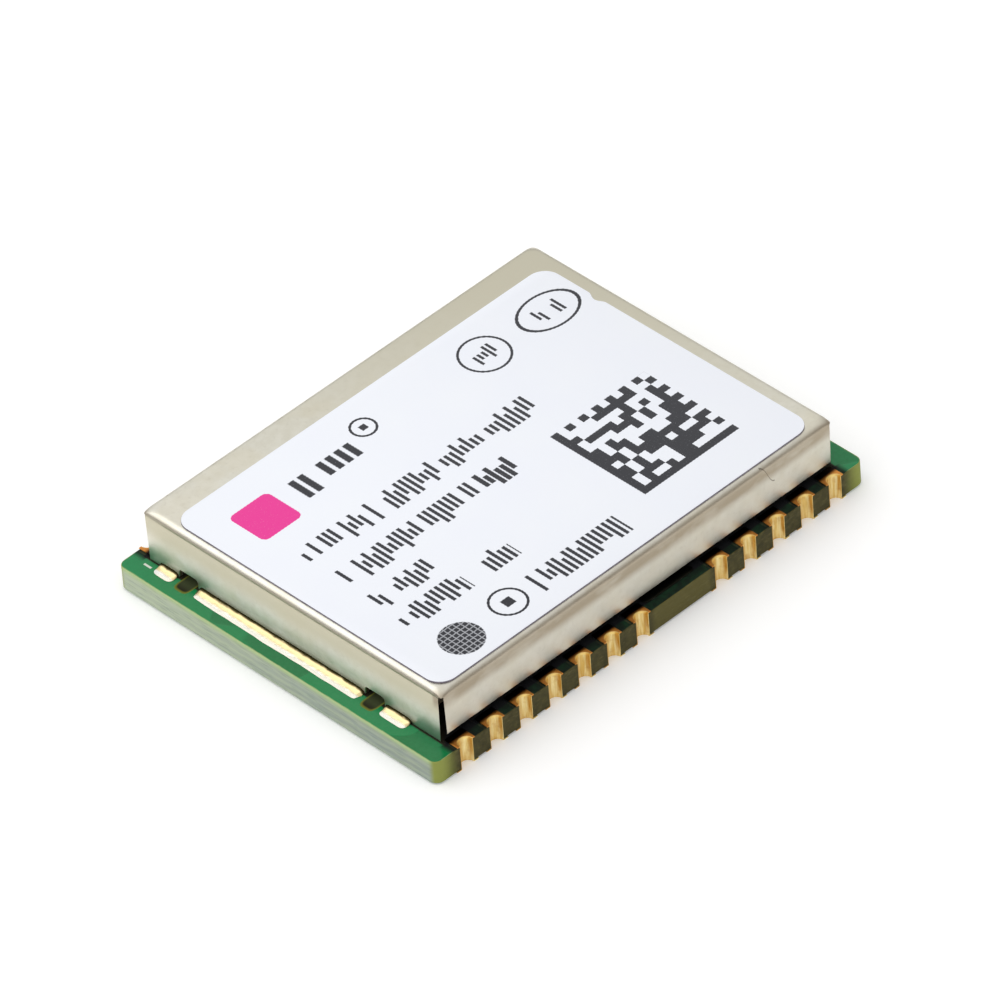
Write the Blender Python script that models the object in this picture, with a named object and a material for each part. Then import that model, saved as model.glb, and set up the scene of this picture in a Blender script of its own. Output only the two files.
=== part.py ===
"""Surface-mount satellite receiver module.

A castellated circuit board carries the receiver's parts under a folded
shield can. The can is soldered to the board along its short walls and wears
a paper-thin label. Gold-plated half-holes along the long edges of the board
are the module's terminals.

+X runs along the long edges, +Z is up, and the origin is the middle of the
underside, in the plane that the terminals' pads rest in.
"""
import math

import bmesh
import bpy
from mathutils import Matrix, Vector

MM = 0.001

# Seating: every piece stands this far off what carries it
SEAT = 0.01 * MM

# Circuit board
BOARD_LENGTH = 16.3 * MM
BOARD_WIDTH = 12.2 * MM
BOARD_THICKNESS = 0.755 * MM
BOARD_CORNER = 0.15 * MM
CORNER_STEPS = 6

# Terminals: half-holes in two groups along each long edge, as many as the edge has room for
TERMINAL_PITCH = 1.1 * MM
TERMINAL_END_MARGIN = 0.6 * MM
GROUP_SPACING = 3.0 * MM
GROUP_GAP_MIDDLE = 1.1 * MM
HALF_HOLE_RADIUS = 0.22 * MM
PLATING = 0.03 * MM
FOIL = 0.035 * MM
TOP_LAND_WIDTH = 0.64 * MM
LAND_UNDER_WALL = 0.1 * MM
BOTTOM_PAD_WIDTH = 0.8 * MM
BOTTOM_PAD_LENGTH = 0.9 * MM
HALF_HOLE_STEPS = 12

# Shield can: one folded sheet, with a ledge of board showing all round it
CAN_END_LEDGE = 0.74 * MM
CAN_SIDE_LEDGE = 0.4 * MM
CAN_HEIGHT = 1.72 * MM
CAN_FOOT_GAP = 0.02 * MM
SHEET = 0.15 * MM
BEND_RADIUS = 0.22 * MM
BEND_STEPS = 6
WALL_CORNER = 0.05 * MM
TOP_CORNER = 0.42 * MM
LONG_WALL_LIFT = 0.28 * MM
SLIT_TOP_WIDTH = 0.08 * MM
SLIT_FOOT_WIDTH = 0.16 * MM
SLIT_INTO_BEND = 0.05 * MM
VENT_WIDTH = 0.75 * MM
VENT_HEIGHT = 0.34 * MM
VENT_CORNER = 0.12 * MM
VENT_TO_REAR_CORNER = 1.65 * MM
VENT_TO_FRONT_CORNER = 2.61 * MM

# Label on the can, stuck on a little off its middle
LABEL_THICKNESS = 0.05 * MM
LABEL_END_MARGIN = 0.37 * MM
LABEL_SIDE_MARGIN = 0.59 * MM
LABEL_SHIFT_X = -0.2 * MM
LABEL_SHIFT_Y = -0.44 * MM
LABEL_CORNER = 0.55 * MM
NICK_LENGTH = 0.7 * MM
NICK_DEPTH = 0.12 * MM
NICK_TO_REAR_EDGE = 2.07 * MM
NICK_STEPS = 8

# Solder along the short walls: stretches between the vents
FILLET_FOOT = 0.36 * MM
FILLET_RISE = 0.16 * MM
FILLET_STEPS = 5
FILLET_END_TAPER = 0.12 * MM
FILLET_VENT_GAP = 0.03 * MM
FILLET_TO_REAR_CORNER = 0.54 * MM
FILLET_TO_FRONT_CORNER = 1.23 * MM

# Bare ground lands in the middle of the long edges
GROUND_LAND_TO_TERMINAL = 0.23 * MM
GROUND_LAND_WIDTH = 0.34 * MM
GROUND_LAND_SHOWING = 0.1 * MM
GROUND_LAND_SHIFT = 0.1 * MM

# Receiver chip, with its leads showing along the foot of each side
CHIP_SIZE = 4.6 * MM
CHIP_HEIGHT = 0.85 * MM
CHIP_EDGE = 0.06 * MM
LEAD_COUNT = 10
LEAD_PITCH = 0.4 * MM
LEAD_WIDTH = 0.22 * MM
LEAD_HEIGHT = 0.2 * MM
LEAD_STAND_OUT = 0.05 * MM

# Ceramic packages with metal lids
OSCILLATOR_LENGTH = 2.5 * MM
OSCILLATOR_WIDTH = 2.0 * MM
OSCILLATOR_HEIGHT = 0.8 * MM
CRYSTAL_LENGTH = 1.5 * MM
CRYSTAL_WIDTH = 3.2 * MM
CRYSTAL_HEIGHT = 0.75 * MM
FILTER_LENGTH = 1.4 * MM
FILTER_WIDTH = 1.1 * MM
FILTER_HEIGHT = 0.5 * MM
LID_INSET = 0.12 * MM
LID_THICKNESS = 0.1 * MM

# Moulded packages
AMPLIFIER_LENGTH = 1.1 * MM
AMPLIFIER_WIDTH = 0.8 * MM
AMPLIFIER_HEIGHT = 0.45 * MM
REGULATOR_LENGTH = 1.6 * MM
REGULATOR_WIDTH = 1.6 * MM
REGULATOR_HEIGHT = 0.55 * MM
INDUCTOR_LENGTH = 2.0 * MM
INDUCTOR_WIDTH = 1.6 * MM
INDUCTOR_HEIGHT = 0.9 * MM
MOULD_EDGE = 0.08 * MM

# Chip capacitors and coils, all of one size
CHIP_PART_LENGTH = 1.0 * MM
CHIP_PART_WIDTH = 0.5 * MM
CHIP_PART_HEIGHT = 0.5 * MM
CHIP_PART_CAP = 0.24 * MM
CHIP_PART_STEP = 0.02 * MM

# Columns of parts under the can, from -X to +X, each from -Y to +Y
COLUMNS = (
    ("reference_oscillator", "voltage_regulator", "clock_crystal"),
    ("receiver_chip", "capacitor_row"),
    ("capacitor_5", "capacitor_6", "capacitor_7"),
    ("power_inductor", "coil_2", "coil_3"),
    ("coil_1", "low_noise_amplifier", "antenna_filter"),
)
ROW_CAPACITORS = 4
COLUMN_CAPACITORS = 3
COILS = 3

# Sizes that follow from the board
CAN_LENGTH = BOARD_LENGTH - 2 * CAN_END_LEDGE
CAN_WIDTH = BOARD_WIDTH - 2 * CAN_SIDE_LEDGE
TOP_LAND_LENGTH = CAN_SIDE_LEDGE + LAND_UNDER_WALL
LABEL_LENGTH = CAN_LENGTH - 2 * LABEL_END_MARGIN
LABEL_WIDTH = CAN_WIDTH - 2 * LABEL_SIDE_MARGIN
GROUND_LAND_LENGTH = GROUP_SPACING - TOP_LAND_WIDTH - 2 * GROUND_LAND_TO_TERMINAL

# Heights that follow from the stack
BOARD_BOTTOM = FOIL + SEAT
BOARD_TOP = BOARD_BOTTOM + BOARD_THICKNESS
PART_FOOT = BOARD_TOP + SEAT
CAN_FOOT = BOARD_TOP + CAN_FOOT_GAP
CAN_TOP = CAN_FOOT + CAN_HEIGHT
WALL_TOP = CAN_TOP - BEND_RADIUS


def clear_scene():
    for item in list(bpy.data.objects):
        bpy.data.objects.remove(item, do_unlink=True)


def finish(name, colour, roughness, metallic=0.0):
    """A plain Principled material."""
    material = bpy.data.materials.new(name)
    material.use_nodes = True
    shader = material.node_tree.nodes["Principled BSDF"]
    shader.inputs["Base Color"].default_value = (*colour, 1.0)
    shader.inputs["Roughness"].default_value = roughness
    shader.inputs["Metallic"].default_value = metallic
    material.diffuse_color = (*colour, 1.0)
    return material


def place(name, mesh, material=None):
    """Put a mesh into the scene as a named object."""
    item = bpy.data.objects.new(name, mesh)
    bpy.context.scene.collection.objects.link(item)
    if material:
        mesh.materials.clear()
        mesh.materials.append(material)
    return item


def mesh_from(name, build):
    """Run build on a new bmesh and keep the result, with its faces pointing out."""
    work = bmesh.new()
    build(work)
    bmesh.ops.remove_doubles(work, verts=work.verts, dist=1e-8)
    bmesh.ops.recalc_face_normals(work, faces=work.faces)
    mesh = bpy.data.meshes.new(name)
    work.to_mesh(mesh)
    work.free()
    return mesh


def arc(centre, radius, start, end, steps):
    """Points on a circular arc in plan, angles in degrees, both ends included."""
    points = []
    for step in range(steps + 1):
        angle = math.radians(start + (end - start) * step / steps)
        points.append((centre[0] + radius * math.cos(angle), centre[1] + radius * math.sin(angle)))
    return points


def rounded_rectangle(length, width, corner, steps=CORNER_STEPS):
    """Outline of a rectangle with round corners, anticlockwise from the +X side."""
    points = []
    for quadrant, (side_x, side_y) in enumerate(((1, 1), (-1, 1), (-1, -1), (1, -1))):
        centre = (side_x * (length / 2 - corner), side_y * (width / 2 - corner))
        points += arc(centre, corner, 90 * quadrant, 90 * quadrant + 90, steps)
    return points


def loft(work, rings):
    """Join rings of equally many points into a solid, with flat ends."""
    loops = []
    for ring in rings:
        loops.append([work.verts.new(point) for point in ring])
    work.faces.new(list(reversed(loops[0])))
    work.faces.new(loops[-1])
    for lower, upper in zip(loops, loops[1:]):
        for index in range(len(lower)):
            following = (index + 1) % len(lower)
            work.faces.new((lower[index], lower[following], upper[following], upper[index]))


def ring_at(outline, height):
    """A flat outline lifted to a height."""
    return [(x, y, height) for x, y in outline]


def stack(levels):
    """A loft through (outline, height) levels, as a mesh builder."""
    return lambda work: loft(work, [ring_at(outline, height) for outline, height in levels])


def cut(target, name, build):
    """Take a cutter's shape away from a target."""
    cutter = place(name, mesh_from(name, build))
    cutter.hide_render = True
    cutter.display_type = "WIRE"
    modifier = target.modifiers.new(name, "BOOLEAN")
    modifier.operation = "DIFFERENCE"
    modifier.solver = "EXACT"
    modifier.object = cutter


def round_off(item, sharp_above=30):
    """Shade a piece smooth but for its sharp edges."""
    item.data.shade_smooth()
    item.data.set_sharp_from_angle(angle=math.radians(sharp_above))


def terminal_positions():
    """Places of the terminals along a long edge, from the -X end to the +X end.

    Each group starts beside the gap and runs outwards for as long as the board lasts.
    """
    positions = []
    limit = BOARD_LENGTH / 2 - TERMINAL_END_MARGIN
    for side in (-1, 1):
        x = GROUP_GAP_MIDDLE + side * GROUP_SPACING / 2
        while abs(x) < limit:
            positions.append(x)
            x += side * TERMINAL_PITCH
    return sorted(positions)


def board_outline():
    """The board's outline, with a half-round bite at every terminal."""
    bite = HALF_HOLE_RADIUS + PLATING + SEAT
    half_length = BOARD_LENGTH / 2 - BOARD_CORNER
    half_width = BOARD_WIDTH / 2 - BOARD_CORNER
    places = terminal_positions()
    outline = arc((half_length, half_width), BOARD_CORNER, 0, 90, CORNER_STEPS)
    for x in reversed(places):
        outline += arc((x, BOARD_WIDTH / 2), bite, 0, -180, HALF_HOLE_STEPS)
    outline += arc((-half_length, half_width), BOARD_CORNER, 90, 180, CORNER_STEPS)
    outline += arc((-half_length, -half_width), BOARD_CORNER, 180, 270, CORNER_STEPS)
    for x in places:
        outline += arc((x, -BOARD_WIDTH / 2), bite, 180, 0, HALF_HOLE_STEPS)
    outline += arc((half_length, -half_width), BOARD_CORNER, 270, 360, CORNER_STEPS)
    return outline


def make_board():
    outline = board_outline()
    mesh = mesh_from("circuit_board", stack([(outline, BOARD_BOTTOM), (outline, BOARD_TOP)]))
    board = place("circuit_board", mesh, finish("solder mask", (0.02, 0.27, 0.10), 0.35))
    round_off(board)


def terminal_body(work):
    """A pad below, a land above and half a plated barrel between them.

    The board's edge lies along y = 0 and the board fills the +y side.
    """
    inner = HALF_HOLE_RADIUS
    outer = HALF_HOLE_RADIUS + PLATING
    levels = (0.0, FOIL, BOARD_TOP + SEAT, BOARD_TOP + SEAT + FOIL)
    bore = arc((0, 0), inner, 180, 0, HALF_HOLE_STEPS)
    barrel = arc((0, 0), outer, 180, 0, HALF_HOLE_STEPS)
    pad = (BOTTOM_PAD_WIDTH / 2, BOTTOM_PAD_LENGTH)
    land = (TOP_LAND_WIDTH / 2, TOP_LAND_LENGTH)

    def face(points):
        work.faces.new([work.verts.new(point) for point in points])

    def plate(size, curve, height):
        half, length = size
        corners = [(half, 0), (half, length), (-half, length), (-half, 0)]
        face(ring_at(corners + curve, height))

    def rim(size, low, high):
        half, length = size
        corners = [(half, 0), (half, length), (-half, length), (-half, 0)]
        for start, end in zip(corners, corners[1:]):
            face(((*start, low), (*end, low), (*end, high), (*start, high)))

    def shell(curve, low, high):
        for start, end in zip(curve, curve[1:]):
            face(((*start, low), (*end, low), (*end, high), (*start, high)))

    plate(pad, bore, levels[0])
    plate(pad, barrel, levels[1])
    plate(land, barrel, levels[2])
    plate(land, bore, levels[3])
    rim(pad, levels[0], levels[1])
    rim(land, levels[2], levels[3])
    shell(bore, levels[0], levels[3])
    shell(barrel, levels[1], levels[2])
    profile = [(inner, 0), (pad[0], 0), (pad[0], 1), (outer, 1)]
    profile += [(outer, 2), (land[0], 2), (land[0], 3), (inner, 3)]
    for side in (-1, 1):
        face([(side * x, 0, levels[level]) for x, level in profile])


def make_terminals():
    """One plated half-hole for every bite in the board's long edges."""
    gold = finish("gold plating", (0.83, 0.56, 0.20), 0.28, 1.0)
    mesh = mesh_from("terminal", terminal_body)
    mesh.materials.append(gold)
    number = 1
    for turned, side in ((0, -1), (180, 1)):
        places = terminal_positions()
        for x in (places if side < 0 else reversed(places)):
            item = place(f"terminal_{number:02d}", mesh)
            item.location = (x, side * BOARD_WIDTH / 2, 0)
            item.rotation_euler.z = math.radians(turned)
            number += 1
    mesh.shade_smooth()
    mesh.set_sharp_from_angle(angle=math.radians(30))


def can_section(inset, height, corner):
    """The can's outline at one height, drawn in by an inset."""
    return ring_at(rounded_rectangle(CAN_LENGTH - 2 * inset, CAN_WIDTH - 2 * inset, corner), height)


def can_skin(offset):
    """Rings from the foot to the top of the can, a sheet's offset inside its outer face."""
    radius = BEND_RADIUS - offset
    rings = [can_section(offset, CAN_FOOT, WALL_CORNER)]
    for step in range(BEND_STEPS + 1):
        turn = math.radians(90 * step / BEND_STEPS)
        inset = offset + radius * (1 - math.cos(turn))
        height = WALL_TOP + radius * math.sin(turn)
        corner = WALL_CORNER + (TOP_CORNER - WALL_CORNER) * math.sin(turn)
        rings.append(can_section(inset, height, corner))
    return rings


def slit(side_x, side_y):
    """A slit through a corner, wider at the foot, as a mesh builder."""
    reach = 4 * SHEET
    low = CAN_FOOT - SHEET
    high = WALL_TOP + SLIT_INTO_BEND
    turn = Matrix.Rotation(math.atan2(side_y, side_x), 3, "Z")
    corner = Vector((side_x * CAN_LENGTH / 2, side_y * CAN_WIDTH / 2, 0))

    def build(work):
        rings = []
        for height, width in ((low, SLIT_FOOT_WIDTH), (high, SLIT_TOP_WIDTH)):
            outline = [(reach, -width / 2), (reach, width / 2), (-reach, width / 2), (-reach, -width / 2)]
            rings.append([corner + turn @ Vector((x, y, height)) for x, y in outline])
        loft(work, rings)
    return build


def long_wall_gap(side_y):
    """The space below a lifted long wall, from slit to slit, as a mesh builder."""
    outline = []
    for side_x, reach in ((-1, 1), (1, 1), (1, -1), (-1, -1)):
        away = 2 * reach * SHEET
        outline.append((side_x * (CAN_LENGTH / 2 + away), side_y * (CAN_WIDTH / 2 + away)))
    return stack([(outline, CAN_FOOT - SHEET), (outline, BOARD_TOP + LONG_WALL_LIFT)])


def block(low, high):
    """A box between two corners, as a mesh builder."""
    outline = [(low[0], low[1]), (high[0], low[1]), (high[0], high[1]), (low[0], high[1])]
    return stack([(outline, low[2]), (outline, high[2])])


def vent_places():
    """Middles of a short wall's two vents along Y, the rear one first."""
    return (CAN_WIDTH / 2 - VENT_TO_REAR_CORNER, VENT_TO_FRONT_CORNER - CAN_WIDTH / 2)


def vent(side_x, y):
    """A round-topped opening in the foot of a short wall, as a mesh builder."""
    crown = CAN_FOOT + VENT_HEIGHT - VENT_CORNER
    half = VENT_WIDTH / 2
    outline = [(y - half, CAN_FOOT - SHEET), (y + half, CAN_FOOT - SHEET)]
    outline += arc((y + half - VENT_CORNER, crown), VENT_CORNER, 0, 90, 4)
    outline += arc((y - half + VENT_CORNER, crown), VENT_CORNER, 90, 180, 4)
    wall = side_x * CAN_LENGTH / 2
    ends = [[(x, a, b) for a, b in outline] for x in (wall - 2 * SHEET, wall + 2 * SHEET)]
    return lambda work: loft(work, ends)


def make_can():
    """Walls and top of one sheet: slit corners, lifted long walls, vented short walls."""
    outside = can_skin(0.0)
    inside = can_skin(SHEET)
    mesh = mesh_from("shield_can", lambda work: loft(work, list(reversed(inside)) + outside))
    can = place("shield_can", mesh, finish("tinned sheet", (0.60, 0.58, 0.50), 0.38, 1.0))
    for side_y in (-1, 1):
        cut(can, f"cut_long_wall_{side_y}", long_wall_gap(side_y))
        for side_x in (-1, 1):
            cut(can, f"cut_slit_{side_x}_{side_y}", slit(side_x, side_y))
    for side_x in (-1, 1):
        for index, y in enumerate(vent_places()):
            cut(can, f"cut_vent_{side_x}_{index}", vent(side_x, y))
    round_off(can)


def label_outline():
    """A rounded rectangle with one small nick in its +X edge."""
    outline = rounded_rectangle(LABEL_LENGTH, LABEL_WIDTH, LABEL_CORNER)
    start = LABEL_WIDTH / 2 - NICK_TO_REAR_EDGE - NICK_LENGTH / 2
    nick = []
    for step in range(NICK_STEPS + 1):
        share = step / NICK_STEPS
        depth = NICK_DEPTH * (1 - math.cos(2 * math.pi * share)) / 2
        nick.append((LABEL_LENGTH / 2 - depth, start + NICK_LENGTH * share))
    return [(x + LABEL_SHIFT_X, y + LABEL_SHIFT_Y) for x, y in nick + outline]


def make_label():
    outline = label_outline()
    foot = CAN_TOP + SEAT
    mesh = mesh_from("label", stack([(outline, foot), (outline, foot + LABEL_THICKNESS)]))
    place("label", mesh, finish("label film", (0.86, 0.88, 0.93), 0.45))


def fillet_section(y, scale):
    """Cross-section of the solder at one place: a foot, a rise and a hollow face between."""
    foot = FILLET_FOOT * scale
    rise = FILLET_RISE * scale
    points = [(0.0, 0.0), (0.0, rise)]
    for step in range(1, FILLET_STEPS):
        turn = math.radians(90 * step / FILLET_STEPS)
        points.append((foot * (1 - math.cos(turn)), rise * (1 - math.sin(turn))))
    points.append((foot, 0.0))
    return [(x, y, z) for x, z in points]


def make_solder():
    """Three stretches of solder beside each short wall, broken at its vents."""
    tin = finish("solder", (0.82, 0.80, 0.74), 0.18, 1.0)
    stretches = []
    start = CAN_WIDTH / 2 - FILLET_TO_REAR_CORNER
    for y in vent_places():
        stretches.append((start, y + VENT_WIDTH / 2 + FILLET_VENT_GAP))
        start = y - VENT_WIDTH / 2 - FILLET_VENT_GAP
    stretches.append((start, FILLET_TO_FRONT_CORNER - CAN_WIDTH / 2))
    for end, side in (("left", -1), ("right", 1)):
        base = side * (CAN_LENGTH / 2 + SEAT)
        for index, (high, low) in enumerate(stretches, 1):
            plan = ((low, 0.45), (low + FILLET_END_TAPER, 1.0), (high - FILLET_END_TAPER, 1.0), (high, 0.45))
            rings = []
            for y, scale in plan:
                section = fillet_section(y, scale)
                rings.append([(base + side * x, y, PART_FOOT + z) for x, y, z in section])
            name = f"solder_{end}_{index}"
            round_off(place(name, mesh_from(name, lambda work, rings=rings: loft(work, rings)), tin), 40)


def make_ground_lands():
    """Tinned lands in the gap between the terminal groups, half under the can's long walls."""
    tin = finish("tinned land", (0.78, 0.78, 0.74), 0.25, 1.0)
    low_x = GROUP_GAP_MIDDLE - GROUND_LAND_LENGTH / 2 - GROUND_LAND_SHIFT
    for name, side in (("ground_land_front", -1), ("ground_land_rear", 1)):
        outer = side * (CAN_WIDTH / 2 + GROUND_LAND_SHOWING)
        inner = outer - side * GROUND_LAND_WIDTH
        low = (low_x, min(outer, inner), PART_FOOT)
        high = (low_x + GROUND_LAND_LENGTH, max(outer, inner), PART_FOOT + FOIL)
        place(name, mesh_from(name, block(low, high)), tin)


def shifted(outline, x, y):
    return [(a + x, b + y) for a, b in outline]


def spread(sizes, room):
    """Middles of pieces set in a row with equal gaps, in a room with its middle at zero."""
    gap = (room - sum(sizes)) / (len(sizes) + 1)
    middles = []
    edge = gap - room / 2
    for size in sizes:
        middles.append(edge + size / 2)
        edge += size + gap
    return middles


def part_places():
    """Where each part under the can stands: columns spread along X, their parts along Y."""
    chip_foot = CHIP_SIZE + 2 * LEAD_STAND_OUT
    footprints = {
        "receiver_chip": (chip_foot, chip_foot),
        "capacitor_row": (chip_foot, CHIP_PART_LENGTH),
        "reference_oscillator": (OSCILLATOR_LENGTH, OSCILLATOR_WIDTH),
        "clock_crystal": (CRYSTAL_LENGTH, CRYSTAL_WIDTH),
        "antenna_filter": (FILTER_LENGTH, FILTER_WIDTH),
        "low_noise_amplifier": (AMPLIFIER_LENGTH, AMPLIFIER_WIDTH),
        "voltage_regulator": (REGULATOR_LENGTH, REGULATOR_WIDTH),
        "power_inductor": (INDUCTOR_LENGTH, INDUCTOR_WIDTH),
    }
    for index in range(COLUMN_CAPACITORS):
        footprints[f"capacitor_{ROW_CAPACITORS + index + 1}"] = (CHIP_PART_WIDTH, CHIP_PART_LENGTH)
    for index in range(COILS):
        footprints[f"coil_{index + 1}"] = (CHIP_PART_LENGTH, CHIP_PART_WIDTH)
    places = {}
    lengths = [max(footprints[name][0] for name in column) for column in COLUMNS]
    for column, x in zip(COLUMNS, spread(lengths, CAN_LENGTH - 2 * SHEET)):
        widths = [footprints[name][1] for name in column]
        for name, y in zip(column, spread(widths, CAN_WIDTH - 2 * SHEET)):
            places[name] = (x, y)
    row_x, row_y = places.pop("capacitor_row")
    for index, x in enumerate(spread([CHIP_PART_WIDTH] * ROW_CAPACITORS, chip_foot)):
        places[f"capacitor_{index + 1}"] = (row_x + x, row_y)
    return places


def chip_foot_outline():
    """The chip's outline at its foot, with a tooth for every lead."""
    side = []
    half = CHIP_SIZE / 2
    for index in range(LEAD_COUNT):
        middle = (index - (LEAD_COUNT - 1) / 2) * LEAD_PITCH
        low, high = middle - LEAD_WIDTH / 2, middle + LEAD_WIDTH / 2
        stand = half + LEAD_STAND_OUT
        side += [(half, low), (stand, low), (stand, high), (half, high)]
    outline = []
    for turn in range(4):
        angle = math.radians(90 * turn)
        cosine, sine = round(math.cos(angle)), round(math.sin(angle))
        outline.append((half * (cosine + sine), half * (sine - cosine)))
        outline += [(x * cosine - y * sine, x * sine + y * cosine) for x, y in side]
    return outline


def make_chip(place_at):
    """Moulded body on a lead frame, its edges broken at the top."""
    foot = chip_foot_outline()
    half = CHIP_SIZE / 2
    body = [(max(-half, min(half, x)), max(-half, min(half, y))) for x, y in foot]
    narrow = (CHIP_SIZE - 2 * CHIP_EDGE) / CHIP_SIZE
    crown = [(x * narrow, y * narrow) for x, y in body]
    plan = (
        (foot, 0.0),
        (foot, LEAD_HEIGHT),
        (body, LEAD_HEIGHT),
        (body, CHIP_HEIGHT - CHIP_EDGE),
        (crown, CHIP_HEIGHT),
    )
    levels = [(shifted(outline, *place_at), PART_FOOT + height) for outline, height in plan]
    mesh = mesh_from("receiver_chip", stack(levels))
    place("receiver_chip", mesh, finish("chip mould", (0.03, 0.03, 0.035), 0.5))


def make_lidded_packages(places):
    """Ceramic tubs with an inset metal lid."""
    ceramic = finish("ceramic", (0.55, 0.50, 0.40), 0.45)
    packages = {
        "reference_oscillator": (OSCILLATOR_LENGTH, OSCILLATOR_WIDTH, OSCILLATOR_HEIGHT),
        "clock_crystal": (CRYSTAL_LENGTH, CRYSTAL_WIDTH, CRYSTAL_HEIGHT),
        "antenna_filter": (FILTER_LENGTH, FILTER_WIDTH, FILTER_HEIGHT),
    }
    for name, (length, width, height) in packages.items():
        tub = shifted(rounded_rectangle(length, width, LID_INSET, 3), *places[name])
        lid_length, lid_width = length - 2 * LID_INSET, width - 2 * LID_INSET
        lid = shifted(rounded_rectangle(lid_length, lid_width, LID_INSET, 3), *places[name])
        shelf = PART_FOOT + height - LID_THICKNESS
        levels = [(tub, PART_FOOT), (tub, shelf), (lid, shelf), (lid, PART_FOOT + height)]
        place(name, mesh_from(name, stack(levels)), ceramic)


def make_moulded_packages(places):
    """Small moulded bodies with broken top edges."""
    mould = finish("package mould", (0.05, 0.05, 0.055), 0.5)
    packages = {
        "low_noise_amplifier": (AMPLIFIER_LENGTH, AMPLIFIER_WIDTH, AMPLIFIER_HEIGHT),
        "voltage_regulator": (REGULATOR_LENGTH, REGULATOR_WIDTH, REGULATOR_HEIGHT),
        "power_inductor": (INDUCTOR_LENGTH, INDUCTOR_WIDTH, INDUCTOR_HEIGHT),
    }
    for name, (length, width, height) in packages.items():
        foot = shifted(rounded_rectangle(length, width, MOULD_EDGE, 2), *places[name])
        crown = rounded_rectangle(length - 2 * MOULD_EDGE, width - 2 * MOULD_EDGE, MOULD_EDGE, 2)
        levels = [(foot, PART_FOOT), (foot, PART_FOOT + height - MOULD_EDGE)]
        levels.append((shifted(crown, *places[name]), PART_FOOT + height))
        place(name, mesh_from(name, stack(levels)), mould)


def chip_part(work):
    """A two-ended chip part along X: a body a step thinner than its end caps."""
    half = CHIP_PART_LENGTH / 2
    waist = half - CHIP_PART_CAP
    plan = ((-half, 0), (-waist, 0), (-waist, 1), (waist, 1), (waist, 0), (half, 0))
    rings = []
    for x, thinner in plan:
        step = thinner * CHIP_PART_STEP
        side = CHIP_PART_WIDTH / 2 - step
        high = CHIP_PART_HEIGHT - step
        rings.append([(x, -side, step), (x, side, step), (x, side, high), (x, -side, high)])
    loft(work, rings)


def make_chip_parts(places):
    """Capacitors turned along Y and coils along X, each a copy of the chip part."""
    brown = finish("capacitor body", (0.42, 0.30, 0.20), 0.4)
    blue = finish("coil body", (0.20, 0.28, 0.38), 0.4)
    kinds = (("capacitor", ROW_CAPACITORS + COLUMN_CAPACITORS, 90, brown), ("coil", COILS, 0, blue))
    for kind, count, turned, material in kinds:
        for index in range(count):
            name = f"{kind}_{index + 1}"
            item = place(name, mesh_from(name, chip_part), material)
            item.location = (*places[name], PART_FOOT)
            item.rotation_euler.z = math.radians(turned)


clear_scene()
make_board()
make_terminals()
make_can()
make_label()
make_solder()
make_ground_lands()
inner_places = part_places()
make_chip(inner_places["receiver_chip"])
make_lidded_packages(inner_places)
make_moulded_packages(inner_places)
make_chip_parts(inner_places)
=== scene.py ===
"""Looks of a surface-mount satellite receiver module.

A castellated board under a soldered shield can with a printed label. Lengths are in millimetres
until a mesh is made. +X runs along the terminals and +Z is up.
"""
import math

import bmesh
import bpy
import numpy as np
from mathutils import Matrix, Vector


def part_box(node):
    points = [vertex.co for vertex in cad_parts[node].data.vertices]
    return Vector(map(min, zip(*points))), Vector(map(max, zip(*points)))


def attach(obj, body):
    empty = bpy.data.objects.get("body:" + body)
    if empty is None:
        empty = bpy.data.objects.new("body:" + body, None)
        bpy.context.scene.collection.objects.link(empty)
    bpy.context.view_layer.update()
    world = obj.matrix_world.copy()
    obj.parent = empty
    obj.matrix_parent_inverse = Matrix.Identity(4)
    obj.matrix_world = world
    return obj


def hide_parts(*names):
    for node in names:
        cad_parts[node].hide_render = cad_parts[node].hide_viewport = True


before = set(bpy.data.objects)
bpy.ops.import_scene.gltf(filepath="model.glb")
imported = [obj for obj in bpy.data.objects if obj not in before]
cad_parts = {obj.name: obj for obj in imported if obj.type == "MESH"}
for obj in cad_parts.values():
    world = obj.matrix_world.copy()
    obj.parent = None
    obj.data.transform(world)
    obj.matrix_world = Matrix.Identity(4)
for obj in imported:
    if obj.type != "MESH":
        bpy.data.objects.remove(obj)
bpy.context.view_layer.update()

# Circuit board: glass-fibre laminate, routed to outline and drilled through at every terminal
# before the rows of holes are milled in half. A green solder mask covers both faces and stops
# short of the routed ends.
MM = 0.001
MERGE_DISTANCE = 1e-8
SHARP_ANGLE = 35.0
TERMINAL_COUNT = 24
ROUTED_CORNER = 0.28
ROUTED_STEPS = 7
BITE_RADIUS = 0.245
BITE_STEPS = 17
EDGE_BREAK = 0.02
UPPER_FACE = 0.5
MASK_END_SETBACK = 0.03
MASK_SIDE_SETBACK = 0.035
MASK_STEP = 0.03
WINDOW_HALF_WIDTH = 0.39
WINDOW_DEPTH = 0.56
MARK_MIDDLE = (-7.64, 5.42)
MARK_HALF = (0.035, 0.14)
VENT_MIDDLES = (4.05, -3.09)
VENT_LAND_HALF_WIDTH = 0.26
VENT_LAND_LENGTH = 0.4
PLIES_PER_MM = 26
LAMINATE_RELIEF = 0.014


def box_of(node):
    """Lowest and highest corner of a CAD node, in millimetres."""
    low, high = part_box(node)
    return np.array(low) / MM, np.array(high) / MM


def arc(centre, radius, start, end, count):
    """Points of a circular arc in plan: centre plus radius times (cos, sin), angles in degrees."""
    turn = np.radians(np.linspace(start, end, count))
    return np.stack([centre[0] + radius * np.cos(turn), centre[1] + radius * np.sin(turn)], axis=-1)


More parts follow.
